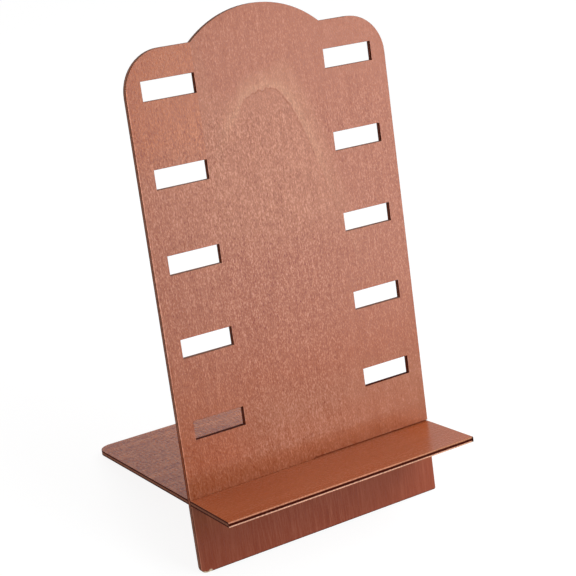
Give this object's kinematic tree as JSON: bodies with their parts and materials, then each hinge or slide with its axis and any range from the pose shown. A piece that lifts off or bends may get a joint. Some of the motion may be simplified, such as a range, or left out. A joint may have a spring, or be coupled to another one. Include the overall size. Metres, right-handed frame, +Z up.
{
  "type": "eyeglass display rack",
  "caption": "Leaning plywood display panel with rows of temple slots for spectacles, cross-lapped with a base board that is shelf in front and prop behind.",
  "frame": {"origin": "on the table, at the middle of the whole rack's footprint box", "axes": "+Z up, -Y towards the viewer who picks spectacles, +X to that viewer's right; the panel leans back towards +Y"},
  "size_m": [0.22, 0.2248, 0.3936],
  "materials": {
    "panel_face_ply": "satin stain, grain upright",
    "panel_core_ply": "laser-browned edge, cross grain",
    "base_face_ply": "satin stain, grain from side to side",
    "base_core_ply": "laser-browned edge, cross grain"
  },
  "bodies": {
    "display_panel": {"panel_front_veneer": "panel_face_ply", "panel_core": "panel_core_ply", "panel_back_veneer": "panel_face_ply"},
    "base_board": {"base_top_veneer": "base_face_ply", "base_core": "base_core_ply", "base_bottom_veneer": "base_face_ply"}
  },
  "joints": [
    {"name": "base_board_slide", "type": "slide", "parent": "display_panel", "child": "base_board", "axis": [1, 0, 0], "range_m": [0, 0.11]}
  ]
}
